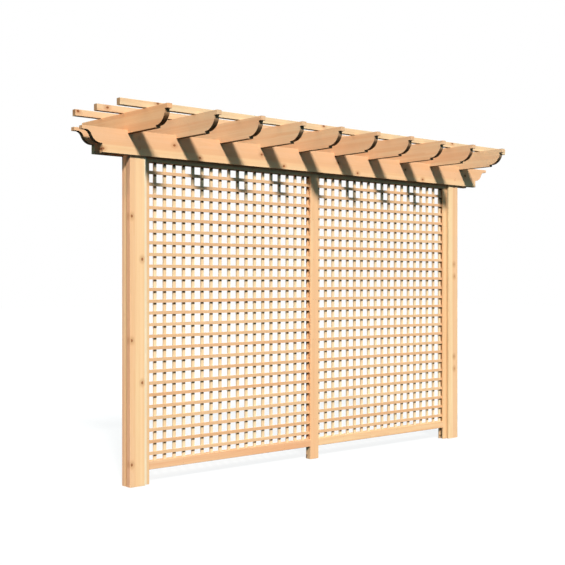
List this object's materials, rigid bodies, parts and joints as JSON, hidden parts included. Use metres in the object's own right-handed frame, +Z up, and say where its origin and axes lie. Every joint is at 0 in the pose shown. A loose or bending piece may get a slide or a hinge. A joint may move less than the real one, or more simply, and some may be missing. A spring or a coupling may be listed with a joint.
{
  "type": "garden pergola screen",
  "caption": "Free-standing cedar pergola wall: lattice screen between built-up posts, under long scroll-ended beams, notched rafters and slender purlins.",
  "frame": {"origin": "on the ground, under the middle of the wall", "axes": "+X along the wall to the right as seen from the front, +Y from the front to the rear, +Z up"},
  "size_m": [4.054, 1.06, 2.5082],
  "materials": {
    "cedar_timber": "satin",
    "cedar_trim": "satin",
    "cedar_slats": "satin",
    "zinc_steel": "satin"
  },
  "bodies": {
    "root": {"beam_bolts": "zinc_steel", "beam_nuts": "zinc_steel", "bolt_plugs": "cedar_timber", "bottom_rail_left_front": "cedar_trim", "bottom_rail_left_rear": "cedar_trim", "bottom_rail_right_front": "cedar_trim", "bottom_rail_right_rear": "cedar_trim", "front_beam": "cedar_timber", "lattice_crossbars": "cedar_slats", "lattice_uprights": "cedar_slats", "left_jamb_front": "cedar_trim", "left_jamb_rear": "cedar_trim", "left_post_core": "cedar_timber", "left_post_front": "cedar_timber", "left_post_rear": "cedar_timber", "mullion_foot": "cedar_trim", "mullion_front": "cedar_trim", "mullion_rear": "cedar_trim", "purlin_front": "cedar_timber", "purlin_middle": "cedar_timber", "purlin_rear": "cedar_timber", "rafter_01": "cedar_timber", "rafter_02": "cedar_timber", "rafter_03": "cedar_timber", "rafter_04": "cedar_timber", "rafter_05": "cedar_timber", "rafter_06": "cedar_timber", "rafter_07": "cedar_timber", "rafter_08": "cedar_timber", "rafter_09": "cedar_timber", "rafter_10": "cedar_timber", "rear_beam": "cedar_timber", "right_jamb_front": "cedar_trim", "right_jamb_rear": "cedar_trim", "right_post_core": "cedar_timber", "right_post_front": "cedar_timber", "right_post_rear": "cedar_timber", "top_rail_left_front": "cedar_trim", "top_rail_left_rear": "cedar_trim", "top_rail_right_front": "cedar_trim", "top_rail_right_rear": "cedar_trim"}
  },
  "joints": []
}
